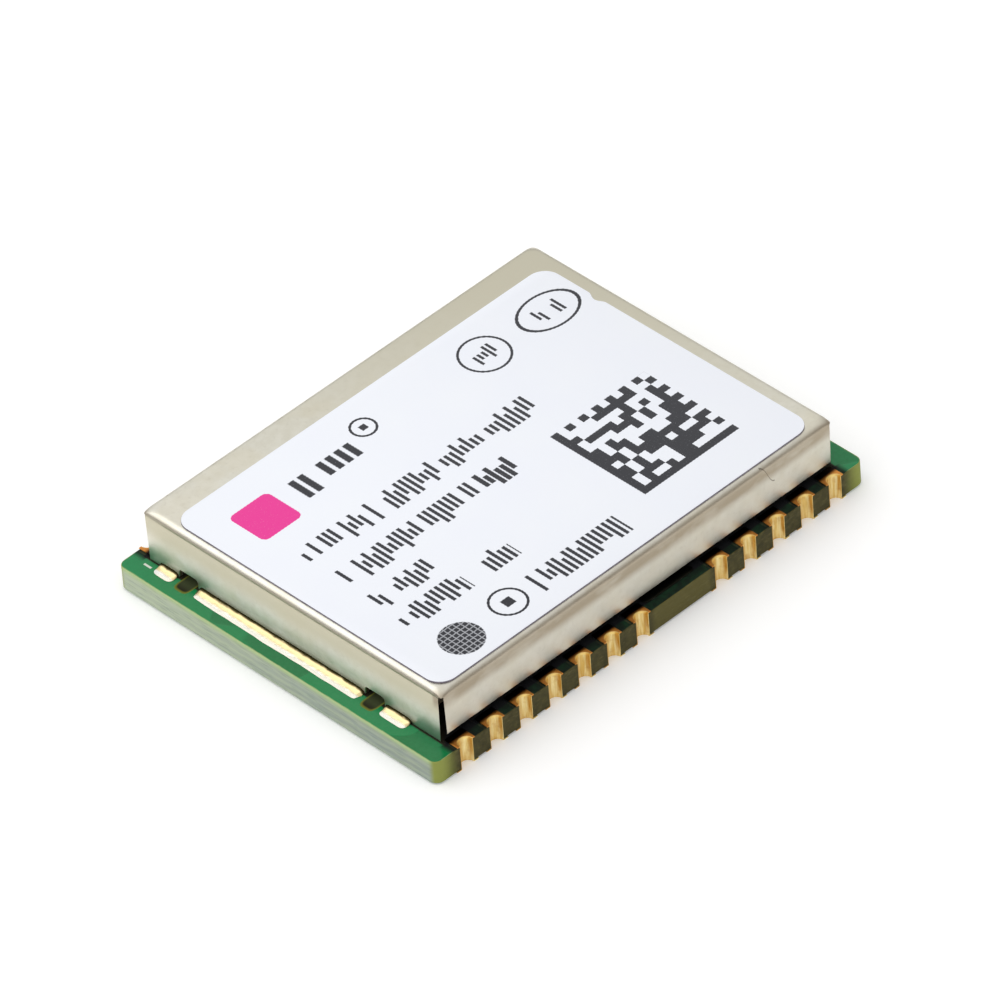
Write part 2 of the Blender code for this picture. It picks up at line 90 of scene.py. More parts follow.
def drawn_in(outline, distance):
    """A closed anticlockwise outline moved inwards, each point along the normal of its neighbours' chord."""
    chord = np.roll(outline, -1, axis=0) - np.roll(outline, 1, axis=0)
    normal = np.stack([-chord[:, 1], chord[:, 0]], axis=-1)
    return outline + distance * normal / np.linalg.norm(normal, axis=1, keepdims=True)


def band(rows, columns):
    """Quads of a grid numbered row by row, its last column joined to its first."""
    row, column = np.meshgrid(np.arange(rows - 1), np.arange(columns), indexing="ij")
    following = (column + 1) % columns
    corners = [row * columns + column, row * columns + following]
    corners += [(row + 1) * columns + following, (row + 1) * columns + column]
    return np.stack(corners, axis=-1).reshape(-1, 4).tolist()


def caps(rows, columns):
    """The two faces that close a band: its first row turned round, and its last."""
    return [list(range(columns))[::-1], list(range((rows - 1) * columns, rows * columns))]


def lofted(outline, profile):
    """A solid from one outline and a profile of (inset, height) rows, with a flat face at each end."""
    rows = []
    for inset, height in profile:
        ring = drawn_in(outline, inset)
        rows.append(np.column_stack([ring, np.full(len(ring), height)]))
    return np.concatenate(rows), band(len(profile), len(outline)) + caps(len(profile), len(outline))


def make_piece(name, points, faces, finishes, stands_for, finish_of_face=None):
    """Points in millimetres and faces made into a closed mesh with its faces outwards."""
    mesh = bpy.data.meshes.new(name)
    mesh.from_pydata((np.asarray(points) * MM).tolist(), [], faces)
    for finish in finishes:
        mesh.materials.append(finish.material)
    if finish_of_face is not None:
        mesh.polygons.foreach_set("material_index", finish_of_face)
    work = bmesh.new()
    work.from_mesh(mesh)
    bmesh.ops.remove_doubles(work, verts=work.verts, dist=MERGE_DISTANCE)
    bmesh.ops.recalc_face_normals(work, faces=work.faces)
    work.to_mesh(mesh)
    work.free()
    mesh.shade_smooth()
    mesh.set_sharp_from_angle(angle=math.radians(SHARP_ANGLE))
    piece = bpy.data.objects.new(name, mesh)
    bpy.context.scene.collection.objects.link(piece)
    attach(piece, "root")
    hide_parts(*stands_for)


def tone(red, green, blue):
    """A colour written as 8-bit screen values, as the linear colour that a socket takes."""
    share = np.array([red, green, blue]) / 255
    linear = np.where(share > 0.04045, ((share + 0.055) / 1.055) ** 2.4, share / 12.92)
    return (*linear.tolist(), 1.0)


class Wire:
    """A socket's value in a graph. Arithmetic on it adds Math nodes."""

    def __init__(self, graph, socket):
        self.graph = graph
        self.socket = socket

    def maths(self, operation, *others):
        """A Math node on this value and others."""
        return self.graph.node("ShaderNodeMath", {"operation": operation}, dict(enumerate((self, *others))))

    def __add__(self, other):
        return self.maths("ADD", other)

    def __sub__(self, other):
        return self.maths("SUBTRACT", other)

    def __rsub__(self, other):
        return self * -1 + other

    def __mul__(self, other):
        return self.maths("MULTIPLY", other)

    def __truediv__(self, other):
        return self.maths("DIVIDE", other)

    def __abs__(self):
        return self.maths("ABSOLUTE")

    def __neg__(self):
        return self * -1

    __radd__ = __add__
    __rmul__ = __mul__

    def least(self, other):
        return self.maths("MINIMUM", other)

    def most(self, other):
        return self.maths("MAXIMUM", other)

    def floor(self):
        return self.maths("FLOOR")

    def fraction(self):
        return self.maths("FRACT")

    def sine(self):
        return self.maths("SINE")

    def root(self):
        return self.maths("SQRT")

    def above(self, edge, soft=0.015):
        """1 where the value is over an edge and 0 where it is under, with a soft step between."""
        limits = {"Value": self, "From Min": edge - soft, "From Max": edge + soft}
        return self.graph.node("ShaderNodeMapRange", {"interpolation_type": "SMOOTHSTEP"}, limits)


class Graph:
    """A node tree that values are worked out in."""

    def __init__(self, tree):
        self.tree = tree

    def node(self, kind, settings, sockets, output=0):
        """Any node: its settings first, then a value or wire for each socket, and one output back."""
        node = self.tree.nodes.new(kind)
        for setting, value in settings.items():
            setattr(node, setting, value)
        for socket, value in sockets.items():
            if isinstance(value, Wire):
                self.tree.links.new(value.socket, node.inputs[socket])
            else:
                node.inputs[socket].default_value = value
        return Wire(self, node.outputs[output])

    def blend(self, share, first, second):
        """A colour between two, by a share."""
        return self.node("ShaderNodeMix", {"data_type": "RGBA"}, {0: share, 6: first, 7: second}, 2)

    def parts(self, vector):
        """A vector's three numbers."""
        return [self.node("ShaderNodeSeparateXYZ", {}, {0: vector}, axis) for axis in range(3)]


class Finish(Graph):
    """A Principled material. Constants go on its sockets, and what varies is fed in as wires."""

    def __init__(self, name, **constants):
        self.material = bpy.data.materials.new(name)
        self.material.use_nodes = True
        super().__init__(self.material.node_tree)
        shader = self.tree.nodes["Principled BSDF"]
        self.sockets = {socket.name.lower().replace(" ", "_"): socket for socket in shader.inputs}
        for socket, value in constants.items():
            self.sockets[socket].default_value = value
        own_place = self.node("ShaderNodeTexCoord", {}, {}, "Object")
        to_mm = {0: own_place, "Scale": 1 / MM}
        self.place = self.node("ShaderNodeVectorMath", {"operation": "SCALE"}, to_mm)
        self.axes = self.parts(self.place)

    def noise(self, per_mm, detail=2.0, stretch=(1, 1, 1)):
        """Smooth noise with so many features to a millimetre, squeezed along each axis by stretch."""
        squeezed = self.node("ShaderNodeVectorMath", {"operation": "MULTIPLY"}, {0: self.place, 1: stretch})
        return self.node("ShaderNodeTexNoise", {}, {"Vector": squeezed, "Scale": per_mm, "Detail": detail})

    def feed(self, **wires):
        """Wires joined to the shader's sockets."""
        for socket, wire in wires.items():
            self.tree.links.new(wire.socket, self.sockets[socket])

    def raise_by(self, height, depth):
        """Relief: a height wire of 0 to 1 stands for a depth in millimetres."""
        return self.node("ShaderNodeBump", {}, {"Height": height, "Distance": depth * MM, "Strength": 1.0})


board_low, board_high = box_of("circuit_board")
can_low, can_high = box_of("shield_can")
can_half = can_high[:2]
half_length, half_width = board_high[0], board_high[1]
terminal_boxes = [box_of(f"terminal_{number:02d}") for number in range(1, TERMINAL_COUNT + 1)]
terminal_x = sorted({round(float(low[0] + high[0]) / 2, 4) for low, high in terminal_boxes})

corner_x, corner_y = half_length - ROUTED_CORNER, half_width - ROUTED_CORNER
outline = [arc((corner_x, corner_y), ROUTED_CORNER, 0, 90, ROUTED_STEPS)]
outline += [arc((x, half_width), BITE_RADIUS, 0, -180, BITE_STEPS) for x in terminal_x[::-1]]
outline += [arc((-corner_x, corner_y), ROUTED_CORNER, 90, 180, ROUTED_STEPS)]
outline += [arc((-corner_x, -corner_y), ROUTED_CORNER, 180, 270, ROUTED_STEPS)]
outline += [arc((x, -half_width), BITE_RADIUS, 180, 0, BITE_STEPS) for x in terminal_x]
outline += [arc((corner_x, -corner_y), ROUTED_CORNER, 270, 360, ROUTED_STEPS)]
bottom, top = board_low[2], board_high[2]
profile = [(EDGE_BREAK, bottom), (0, bottom + EDGE_BREAK), (0, top - EDGE_BREAK), (EDGE_BREAK, top)]
points, faces = lofted(np.concatenate(outline), profile)

mask = Finish("solder mask", specular_ior_level=0.3)
x, y, z = mask.axes
on_upper = z.above(UPPER_FACE)
wander = (mask.noise(3.0, 3.0) - 0.5) * 0.08
to_end = half_length - abs(x) + wander * 0.6
to_side = half_width - abs(y) + wander * 0.4
nearest = abs(x - terminal_x[0])
for terminal in terminal_x[1:]:
    nearest = nearest.least(abs(x - terminal))
window = nearest.above(WINDOW_HALF_WIDTH).most(to_side.above(WINDOW_DEPTH))
covered = to_end.above(MASK_END_SETBACK, 0.03) * to_side.above(MASK_SIDE_SETBACK) * window
# Copper below the mask makes it lighter
copper = mask.noise(0.55, 0.5).above(0.5, 0.01)
green = mask.blend(copper, tone(12, 110, 58), tone(24, 130, 74))
green = mask.blend(mask.noise(9.0, 3.0) * 0.4, green, tone(42, 148, 88))
bare = mask.blend(mask.noise(14.0, 2.0, (1, 3, 1)), tone(150, 172, 108), tone(184, 202, 146))
body = mask.blend(covered, bare, green)
mark_x = MARK_HALF[0] - abs(x - MARK_MIDDLE[0])
mark_y = MARK_HALF[1] - abs(y - MARK_MIDDLE[1])
mark = mark_x.least(mark_y).above(0.0, 0.01) * on_upper
body = mask.blend(mark, body, tone(222, 226, 214))
# Painted shade makes the board near black along the long walls and inside the can's footprint; at the short
# walls a brown line at the can's foot is partly flux and partly painted shade
off_end, off_side = abs(x) - can_half[0], abs(y) - can_half[1]
shaded_ledge = off_side.above(-0.02, 0.03) * (0.12 - off_end).above(0.0, 0.12) * (0.8 + mask.noise(4.0, 2.0) * 0.3)
body = mask.blend(shaded_ledge.least(0.97), body, tone(4, 15, 7))
under = (0.045 - off_end.most(off_side - 0.05) + wander * 0.5).above(0.0, 0.03)
flux_and_shade = mask.blend((off_side - off_end).above(0.0, 0.1), tone(34, 29, 12), tone(3, 4, 9))
body = mask.blend(under * on_upper, body, flux_and_shade)
# A rounded land without mask lies before each vent of the can
to_vent = abs(y - VENT_MIDDLES[0]).least(abs(y - VENT_MIDDLES[1]))
from_vent, from_wall = to_vent / VENT_LAND_HALF_WIDTH, off_end.most(0.0) / VENT_LAND_LENGTH
from_vent, from_wall = from_vent * from_vent, from_wall * from_wall
in_land = 1 - (from_vent * from_vent + from_wall * from_wall).root() + wander
open_land = in_land.above(0.0, 0.12)
body = mask.blend(open_land * on_upper, body, tone(112, 116, 40))
dark_land = mask.blend(off_end.above(0.2, 0.14), tone(60, 68, 38), tone(26, 24, 4))
body = mask.blend(in_land.above(0.3, 0.16) * on_upper, body, dark_land)
relief = covered * 0.7 + copper * 0.2 + mask.noise(30.0, 2.0) * 0.05
dull = under.most(shaded_ledge).most(open_land)
mask.feed(
    base_color=body,
    roughness=0.3 - covered * 0.08 + mark * 0.2 + dull * 0.6,
    normal=mask.raise_by(relief, MASK_STEP),
)

laminate = Finish("laminate edge", roughness=0.65, specular_ior_level=0.2)
x, y, z = laminate.axes
# The ends show pale plies and strands of glass
plies = ((z * PLIES_PER_MM + laminate.noise(0.9, 3.0, (1, 1, 2)) * 9).sine() + 1) * 0.5
strands = laminate.noise(5.0, 3.0, (1, 0.35, 5))
drift = laminate.noise(0.7, 2.0)
pale = laminate.blend(plies, tone(152, 163, 153), tone(172, 183, 162))
pale = laminate.blend(drift.above(0.5, 0.15) * 0.4, pale, tone(156, 170, 164))
pale = laminate.blend(y.above(1.0, 6.0) * 0.55, pale, tone(204, 216, 184))
pale = laminate.blend(strands.above(0.6, 0.1) * 0.5, pale, tone(126, 142, 130))
pale = laminate.blend((z - (top - 0.1)).above(0.0, 0.09) * 0.8, pale, tone(184, 206, 142))
# The milled sides are dark and olive, and greener at the corners
dark = laminate.blend(laminate.noise(6.0, 3.0), tone(44, 42, 20), tone(92, 86, 46))
off_gap = abs(x - (terminal_x[6] + terminal_x[7]) / 2)
dark = laminate.blend((1.1 - off_gap).above(0.0, 0.15) * 0.7, dark, tone(104, 98, 50))
dark = laminate.blend(strands.above(0.62, 0.08) * 0.3, dark, tone(124, 116, 74))
near_end = 1 - (half_length - abs(x)).above(0.55, 0.35)
edge = laminate.blend(near_end, dark, tone(150, 158, 80))
end_face = 1 - (half_length - abs(x)).above(0.03, 0.03)
off_corner = (half_width - abs(y)).above(0.16, 0.16)
edge = laminate.blend(end_face * off_corner, edge, pale)
relief = strands * 0.5 + plies * 0.2 + laminate.noise(24.0, 2.0) * 0.2
laminate.feed(base_color=edge, normal=laminate.raise_by(relief, LAMINATE_RELIEF))

which = np.ones(len(faces), dtype=int)
which[-2:] = 0
make_piece("board_body", points, faces, [mask, laminate], ["circuit_board"], which)

# Terminals: half of a plated hole at each place, with a land above the board and a pad below it.
# Copper is plated up in the drilled hole, flashed with gold and cut through with the board, which
# leaves a rolled lip at each rim and fine drill marks down the barrel.
HOLE_RADIUS = 0.22
BARREL_RADIUS = 0.237
SEAT = 0.01
FOIL = 0.035
LIP = 0.018
LIP_STEPS = 5
LAND = (0.32, 0.5)
PAD = (0.4, 0.9)
RIM = 0.03
SOFT_EDGE = 0.008
BORE_END = 0.15
BARREL_STEPS = 40
TERMINAL_PITCH = 1.1
FIRST_GROUP = 7
GOLD_RELIEF = 0.01

gold = Finish("gold plating", metallic=1.0)
x, y, z = gold.axes
drill_marks = gold.noise(16.0, 3.0, (1, 1, 0.1))
stain = gold.noise(5.0, 3.0)
# Place across each terminal, from -0.5 to 0.5 of the pitch, and depth in from the board's edge
first, second = terminal_x[0], terminal_x[FIRST_GROUP]
group_start = x.above((terminal_x[FIRST_GROUP - 1] + second) / 2, 0.1) * (second - first) + first
across = ((x - group_start) / TERMINAL_PITCH + 0.5).fraction() - 0.5
depth = half_width - abs(y)
plated = gold.blend(drill_marks.above(0.5, 0.25), tone(222, 184, 100), tone(252, 234, 172))
# Painted shade darkens the -X side of each terminal
plated = gold.blend((-across).above(0.05, 0.2) * 0.6, plated, tone(196, 140, 66))
plated = gold.blend(stain.above(0.62, 0.12) * 0.35, plated, tone(190, 136, 66))
# The lip's brightness is a painted highlight, and the land is painted shade that goes from copper red to
# near black below the can's wall
on_top = z.above(top - EDGE_BREAK, 0.03)
off_axis = across * TERMINAL_PITCH
from_axis = (off_axis * off_axis + depth * depth).root()
plated = gold.blend(on_top, plated, tone(255, 226, 142))
plated = gold.blend(on_top * from_axis.above(HOLE_RADIUS + LIP, 0.03) * 0.9, plated, tone(204, 124, 50))
plated = gold.blend(on_top * depth.above(0.25, 0.08), plated, tone(24, 9, 3))
relief = drill_marks * 0.8 + gold.noise(40.0, 2.0) * 0.2
gold.feed(base_color=plated, roughness=0.24 + stain * 0.16, normal=gold.raise_by(relief, GOLD_RELIEF))


def reach(turn, size):
    """Distance from a hole's middle to the rim of its land, a rectangle of half width by length."""
    half, length = size
    return np.minimum(half / np.maximum(np.abs(np.cos(turn)), 1e-6), length / np.maximum(np.sin(turn), 1e-6))


def plated_half_hole():
    """A closed section swept half round the hole.

    The section runs up the bore, over the lip, out along the land, back under it, down the barrel,
    out along the pad and back to the bore. Radii on the land and the pad stretch with reach().
    """
    land_foot = top + SEAT
    land_top = land_foot + FOIL
    rolled = np.radians(np.linspace(0, 90, LIP_STEPS))
    from_sine, from_cosine = LIP - LIP * np.sin(rolled), LIP - LIP * np.cos(rolled)
    lower_lip = np.column_stack([HOLE_RADIUS + from_sine, from_cosine])
    upper_lip = np.column_stack([HOLE_RADIUS + from_cosine, land_top - from_sine])
    wall = np.column_stack([np.full(5, HOLE_RADIUS), np.linspace(BORE_END, land_top - BORE_END, 5)])
    bore = np.concatenate([lower_lip, wall, upper_lip])
    land = [(-RIM, land_top), (-SOFT_EDGE, land_top), (0, land_top - SOFT_EDGE)]
    land += [(0, land_foot + SOFT_EDGE), (-SOFT_EDGE, land_foot)]
    barrel = [(BARREL_RADIUS, land_foot), (BARREL_RADIUS, FOIL)]
    pad = [(-SOFT_EDGE, FOIL), (0, FOIL - SOFT_EDGE), (0, SOFT_EDGE), (-SOFT_EDGE, 0), (-RIM, 0)]
    radius, height = np.concatenate([bore, land, barrel, pad]).T
    counts = [len(bore), len(land), len(barrel), len(pad)]
    on_land, on_pad = np.repeat([0, 1, 0, 0], counts), np.repeat([0, 0, 0, 1], counts)
    turn = np.linspace(0, math.pi, BARREL_STEPS + 1)[:, None]
    away = radius + on_land * reach(turn, LAND) + on_pad * reach(turn, PAD)
    height = np.broadcast_to(height, away.shape)
    grid = np.stack([away * np.cos(turn), away * np.sin(turn), height], axis=-1)
    return grid.reshape(-1, 3), band(*away.shape) + caps(*away.shape)


half_hole, half_hole_faces = plated_half_hole()
for number, (low, high) in enumerate(terminal_boxes, 1):
    side = np.sign(low[1] + high[1])
    place = np.array([(low[0] + high[0]) / 2, side * half_width, 0.0])
    turned = half_hole * np.array([-side, -side, 1.0]) + place
    name = f"terminal_{number:02d}"
    make_piece(f"plated_{name}", turned, half_hole_faces, [gold], [name])

# Ground lands: thin tinned strips on the board in the gap between the groups of terminals,
# half hidden below the can's long walls. Solder wets them into a low crown.
STRIP_STATIONS = 41
STRIP_STEPS = 11
STRIP_SQUARENESS = 14
STRIP_RELIEF = 0.003


def crowned_strip(low, high):
    """A strip in a box: places along it by turns over it, from one long edge to the other.

    The width follows the turn's cosine and the crown the root of its sine. Both shrink to nothing at
    the ends with the root of 1 - |run| ** squareness.
    """
    middle, half = (low + high) / 2, (high - low) / 2
    run = np.linspace(-1, 1, STRIP_STATIONS)[:, None]
    turn = np.linspace(0, math.pi, STRIP_STEPS)
    swell = np.sqrt(np.clip(1 - np.abs(run) ** STRIP_SQUARENESS, 0.0, 1.0))
    along = middle[0] + run * half[0]
    across = middle[1] + np.cos(turn) * swell * half[1]
    crown = low[2] + (high[2] - low[2]) * np.sin(turn) ** 0.5 * swell
    return np.stack(np.broadcast_arrays(along, across, crown), axis=-1).reshape(-1, 3)


tinned = Finish("tinned land", metallic=1.0)
ripple = tinned.noise(9.0, 3.0)
silver = tinned.blend(ripple, tone(206, 212, 204), tone(240, 244, 240))
# Painted shade darkens the strips below the can's long walls
shade_below_wall = (can_half[1] + 0.1 - abs(tinned.axes[1]) + ripple * 0.03).above(0.0, 0.02)
silver = tinned.blend(shade_below_wall, silver, tone(34, 34, 28))
tinned.feed(base_color=silver, roughness=0.3 + ripple * 0.2, normal=tinned.raise_by(ripple, STRIP_RELIEF))
for name in ("ground_land_front", "ground_land_rear"):
    strip = crowned_strip(*box_of(name))
    make_piece(f"crowned_{name}", strip, band(STRIP_STATIONS, STRIP_STEPS), [tinned], [name])

# Shield can: one blank of tinned steel sheet with the top's corners rounded and the four walls
# folded down. The walls part in a slit below each corner. The long walls stop above the board,
# and the short walls stand on it in solder, with two vents in each.
SHEET = 0.15
BEND_RADIUS = 0.22
WALL_CORNER = 0.05
TOP_CORNER = 0.36
LONG_WALL_LIFT = 0.28
SLIT_TOP_WIDTH = 0.15
SLIT_FOOT_WIDTH = 0.2
SLIT_TURN = 13.1
SLIT_SHARE = 0.3
CORNER_REACH = 0.9
CORNER_STEPS = 9
VENT_WIDTH = 0.75
VENT_RISE = 0.3
VENT_SHOULDER = 0.12
VENT_STEPS = 7
CROWN_RINGS = (4.5, 1.0)
BEND_TURNS = (90, 80, 70, 60, 50, 40, 30, 20, SLIT_TURN, 6, 0)
WALL_ROWS = 10
SIDE_STATIONS = 41
SCRATCH_X = 4.9
SCRATCH_Z = 2.14
SCRATCH_HALF_LENGTH = 0.25
END_WALL_LEAN = 0.08
SHEET_RELIEF = 0.003

wall_top = can_high[2] - BEND_RADIUS
long_foot = top + LONG_WALL_LIFT
short_foot = can_low[2]


def vented_foot(along):
    """Height of a short wall's lower edge: the foot, lifted to a round-shouldered arch at each vent."""
    away = np.abs(along[:, None] - np.array(VENT_MIDDLES)[None, :]).min(axis=1)
    past = np.clip(away - (VENT_WIDTH / 2 - VENT_SHOULDER), 0, VENT_SHOULDER) / VENT_SHOULDER
    arch = short_foot + VENT_RISE - VENT_SHOULDER * (1 - np.sqrt(1 - past ** 2))
    return np.where(away < VENT_WIDTH / 2, arch, short_foot)


def side_stations(k):
    """Places along the straight run after corner k, in the outline's direction, and the foot there."""
    half = can_half[k % 2] - CORNER_REACH
    stations = np.linspace(-half, half, SIDE_STATIONS)
    if k % 2 == 1:
        spread = VENT_WIDTH / 2 - VENT_SHOULDER * np.linspace(0, 1, VENT_STEPS) ** 2
        spread = np.append(spread, VENT_WIDTH / 2 + 0.002)
        extra = [vent + sign * spread for vent in VENT_MIDDLES for sign in (-1, 1)]
        heading = k - 2
        stations = np.unique(np.concatenate([stations, *(heading * place for place in extra)]).round(5))
        foot = vented_foot(heading * stations)
    else:
        foot = np.full(len(stations), long_foot)
    return stations, foot


def can_grid(offset):
    """One face of the sheet as rows from the top's middle out to the foot, all round the can.

    Rows follow the flat top, the bend's quarter circle and then the wall. Columns follow the sides
    and turn each corner along straight, arc, straight, squeezed so that two of them keep to the
    edges of the slit.
    """
    radius = BEND_RADIUS - offset
    sine, cosine = np.sin(np.radians(BEND_TURNS)), np.cos(np.radians(BEND_TURNS))
    rings = len(CROWN_RINGS)
    inset = np.concatenate([CROWN_RINGS, offset + radius * (1 - cosine), np.full(WALL_ROWS, offset)])
    height = np.concatenate([
        np.full(rings, can_high[2] - offset),
        wall_top + radius * sine,
        np.full(WALL_ROWS, wall_top),
    ])
    corner = np.concatenate([
        np.full(rings, TOP_CORNER),
        WALL_CORNER + (TOP_CORNER - WALL_CORNER) * sine,
        np.full(WALL_ROWS, WALL_CORNER),
    ])
    down = np.concatenate([np.zeros(rings + len(BEND_TURNS)), np.linspace(0, 1, WALL_ROWS + 1)[1:]])
    inset, height, corner, down = (value[:, None] for value in (inset, height, corner, down))
    incoming = np.array([(0, 1), (-1, 0), (0, -1), (1, 0)])
    signs = np.array([(1, 1), (-1, 1), (-1, -1), (1, -1)])
    blocks, in_slit = [], []
    share = np.concatenate([
        np.linspace(-1, -SLIT_SHARE, CORNER_STEPS),
        np.linspace(-SLIT_SHARE, SLIT_SHARE, CORNER_STEPS)[1:-1],
        np.linspace(SLIT_SHARE, 1, CORNER_STEPS),
    ])
    size = np.abs(share)
    for k in range(4):
        foot = np.where(share < 0, (short_foot, long_foot)[k % 2], (long_foot, short_foot)[k % 2])
        level = height + (foot - height) * down
        part = np.clip((wall_top - level) / (wall_top - short_foot), 0, 1)
        slit = SLIT_TOP_WIDTH + (SLIT_FOOT_WIDTH - SLIT_TOP_WIDTH) * part
        room = np.maximum(CORNER_REACH - inset, corner + 0.05)
        half_path = room - corner + corner * math.pi / 4
        on_wall = corner * math.pi / 4 + slit / math.sqrt(2) - corner
        edge = np.where(slit / math.sqrt(2) > corner, on_wall, slit / 2) / half_path
        inner = size / SLIT_SHARE * edge
        outer = edge + (size - SLIT_SHARE) / (1 - SLIT_SHARE) * (1 - edge)
        run = np.sign(share) * np.where(size <= SLIT_SHARE, inner, outer) * half_path
        lean = np.clip(math.pi / 4 + run / corner, 0, math.pi / 2)
        straight = np.maximum(np.abs(run) - corner * math.pi / 4, 0)
        back = corner * (1 - np.sin(lean)) + np.where(run < 0, straight, 0)
        ahead = corner * (1 - np.cos(lean)) + np.where(run > 0, straight, 0)
        heading = incoming[(k + 1) % 4]
        corner_point = signs[k] * (can_half - inset)
        point = corner_point[:, None, :] - incoming[k] * back[..., None] + heading * ahead[..., None]
        blocks.append(np.concatenate([point, level[..., None]], axis=-1))
        in_slit.append(size <= SLIT_SHARE)
        stations, foot = side_stations(k)
        level = height + (foot - height) * down
        squeeze = (can_half[k % 2] - inset - room) / (can_half[k % 2] - CORNER_REACH)
        side = (corner_point * np.abs(incoming[k]))[:, None, :] + heading * (stations * squeeze)[..., None]
        blocks.append(np.concatenate([side, level[..., None]], axis=-1))
        in_slit.append(np.zeros(len(stations), dtype=bool))
    return np.concatenate(blocks, axis=1), np.concatenate(in_slit)


def sheet_faces(rows, columns, slit_columns):
    """Both faces of the sheet, joined along every free edge, and a face over the middle of each.

    A step from point to point belongs to a free edge where no quad takes it the other way.
    """
    quads = np.array(band(rows, columns)).reshape(rows - 1, columns, 4)
    open_quad = np.zeros((rows - 1, columns), dtype=bool)
    slit_row = len(CROWN_RINGS) + BEND_TURNS.index(SLIT_TURN)
    open_quad[slit_row:, :] = slit_columns & np.roll(slit_columns, -1)
    shell = quads[~open_quad]
    count = rows * columns
    steps = np.concatenate([np.stack([shell[:, i], shell[:, (i + 1) % 4]], axis=-1) for i in range(4)])
    free = ~np.isin(steps[:, 0] * count + steps[:, 1], steps[:, 1] * count + steps[:, 0])
    rim = steps[free]
    rim = rim[rim.min(axis=1) >= columns]
    edge = np.column_stack([rim[:, 1], rim[:, 0], rim[:, 0] + count, rim[:, 1] + count])
    middles = [list(range(columns))[::-1], list(range(count, count + columns))]
    return shell.tolist() + (shell[:, ::-1] + count).tolist() + edge.tolist() + middles


outside, slit_columns = can_grid(0.0)
inside, _ = can_grid(SHEET)
points = np.concatenate([outside.reshape(-1, 3), inside.reshape(-1, 3)])
faces = sheet_faces(*outside.shape[:2], slit_columns)

steel = Finish("tinned steel", metallic=1.0)
x, y, z = steel.axes
grain = steel.noise(9.0, 3.0, (0.12, 3, 3))
mottle = steel.noise(3.2, 5.0)
smears = steel.noise(0.7, 3.0)
sheet = steel.blend(mottle.above(0.5, 0.3), tone(221, 218, 205), tone(234, 232, 222))
sheet = steel.blend(smears.above(0.55, 0.12) * 0.35, sheet, tone(226, 218, 194))
# A painted dark reflection runs in a line along the bend
painted_bend_line = (0.07 - abs(z - wall_top - 0.05)).above(0.0, 0.06) * (0.5 + mottle)
sheet = steel.blend(painted_bend_line.least(1.0) * 0.6, sheet, tone(168, 150, 128))
specks = steel.noise(8.0, 3.0).above(0.62, 0.08)
sheet = steel.blend(specks * 0.1, sheet, tone(160, 150, 132))
# Painted reflection of the green board greys the foot of the end walls, and painted shade darkens them above
end_wall = abs(x).above(can_half[0] - 0.02, 0.02)
board_reflection = 1 - (z - short_foot + smears * 0.2).above(0.46, 0.2)
sheet = steel.blend(board_reflection * end_wall * 0.5, sheet, tone(120, 146, 142))
sheet = steel.blend(z.above(1.75, 0.3) * end_wall * 0.85, sheet, tone(201, 195, 171))
# Painted shade darkens the front wall, and more so in patches below its bend
front_wall = (-y).above(can_half[1] - 0.04, 0.03)
sheet = steel.blend(front_wall * 0.4, sheet, tone(190, 184, 168))
front_bend_shade = (0.22 - abs(z - wall_top + 0.09)).above(0.0, 0.17) * (-y).above(can_half[1] - 0.3, 0.08)
patches = steel.noise(2.2, 4.0, (0.5, 1, 1)).above(0.42, 0.25)
sheet = steel.blend(front_bend_shade * (0.5 + patches * 0.6).least(1.0), sheet, tone(170, 158, 138))
# Painted shade darkens the top towards its +X +Y corner
top_shade = (x + y).above(4.0, 8.0) * z.above(wall_top + 0.19, 0.04)
sheet = steel.blend(top_shade, sheet, tone(203, 198, 178))
along = x - SCRATCH_X
drift = SCRATCH_Z - along * 1.2 - (along * 11).sine() * 0.1
scratch = (0.02 - abs(z - drift)).least(SCRATCH_HALF_LENGTH - abs(along)).above(0.0, 0.012) * (-y).above(5.5)
sheet = steel.blend(scratch * 0.7, sheet, tone(92, 82, 70))
relief = grain * 0.6 + mottle * 0.8 - z.least(wall_top) * end_wall * (END_WALL_LEAN / SHEET_RELIEF)
steel.feed(
    base_color=sheet,
    roughness=0.26 + grain * 0.12 + mottle * 0.08,
    normal=steel.raise_by(relief, SHEET_RELIEF),
)
make_piece("folded_can", points, faces, [steel], ["shield_can"])

# Label: a white film stuck on the can a little off its middle, with one nick in its far edge and
# print in dark ink: bar groups, rings, a matrix of cells, a hatched dot and one magenta block.
LABEL_CORNER = 0.55
LABEL_CORNER_STEPS = 13
NICK_Y = 2.6
NICK_LENGTH = 0.7
NICK_DEPTH = 0.12
NICK_STEPS = 25
# Each line of bars: start, end and middle, half height, pitch, and half a bar's share of the pitch
BAR_LINES = (
    (-4.25, -1.85, 2.96, 0.44, 0.34, 0.32),
    (-6.02, 2.50, 0.84, 0.42, 0.19, 0.29),
    (-6.10, -0.80, -0.57, 0.43, 0.19, 0.29),
    (-0.78, 0.42, -0.57, 0.43, 0.2, 0.38),
    (-6.02, -3.81, -1.86, 0.38, 0.19, 0.29),
    (-6.14, -3.78, -2.97, 0.40, 0.19, 0.29),
    (-3.06, -2.03, -2.97, 0.40, 0.19, 0.29),
    (-2.73, 0.61, -4.52, 0.42, 0.19, 0.29),
    (2.72, 3.50, 3.22, 0.30, 0.156, 0.29),
    (5.08, 6.02, 3.22, 0.30, 0.156, 0.29),
)
